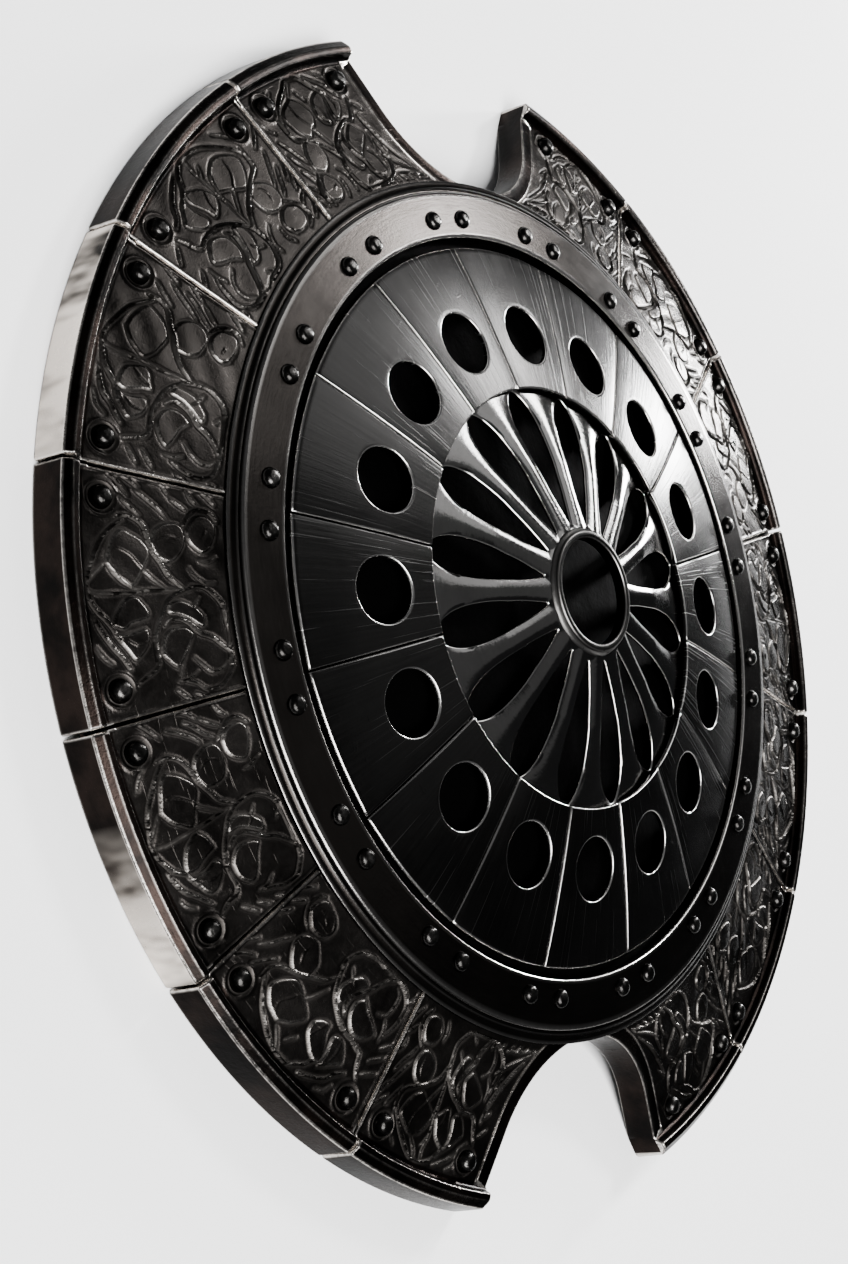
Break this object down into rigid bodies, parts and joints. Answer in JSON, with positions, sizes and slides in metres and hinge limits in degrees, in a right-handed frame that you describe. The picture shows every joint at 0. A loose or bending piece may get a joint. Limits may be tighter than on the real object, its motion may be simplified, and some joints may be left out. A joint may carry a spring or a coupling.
{
  "type": "round targe shield",
  "caption": "Round steel targe with embossed rim plates, a riveted ring, pierced boss panels, a slotted rosette with a raised hub, two notches in the rim and a hand grip behind.",
  "frame": {"origin": "centre of the shield's axis, on the surface that the back of the rim lies on", "axes": "+Z out of the face along the shield's axis, +Y towards the top notch, +X to the right seen from the front"},
  "size_m": [0.502, 0.4844, 0.0613],
  "materials": {
    "embossed_steel": "blackened, raised edges polished by wear",
    "boss_steel": "darkened satin with scratches",
    "ring_steel": "blackened satin",
    "back_steel": "dull blackened"
  },
  "bodies": {
    "root": {"rim_plate_01": "embossed_steel", "rim_plate_02": "embossed_steel", "rim_plate_03": "embossed_steel", "rim_plate_04": "embossed_steel", "rim_plate_05": "embossed_steel", "rim_plate_06": "embossed_steel", "rim_plate_07": "embossed_steel", "rim_plate_08": "embossed_steel", "rim_plate_09": "embossed_steel", "rim_plate_10": "embossed_steel", "rim_plate_11": "embossed_steel", "rim_plate_12": "embossed_steel", "rim_plate_13": "embossed_steel", "rim_plate_14": "embossed_steel", "boss_panel_01": "boss_steel", "boss_panel_02": "boss_steel", "boss_panel_03": "boss_steel", "boss_panel_04": "boss_steel", "boss_panel_05": "boss_steel", "boss_panel_06": "boss_steel", "boss_panel_07": "boss_steel", "boss_panel_08": "boss_steel", "boss_panel_09": "boss_steel", "boss_panel_10": "boss_steel", "boss_panel_11": "boss_steel", "boss_panel_12": "boss_steel", "boss_panel_13": "boss_steel", "boss_panel_14": "boss_steel", "boss_panel_15": "boss_steel", "boss_panel_16": "boss_steel", "middle_ring": "ring_steel", "rosette": "ring_steel", "back_shell": "back_steel", "hand_grip": "back_steel"}
  },
  "joints": []
}
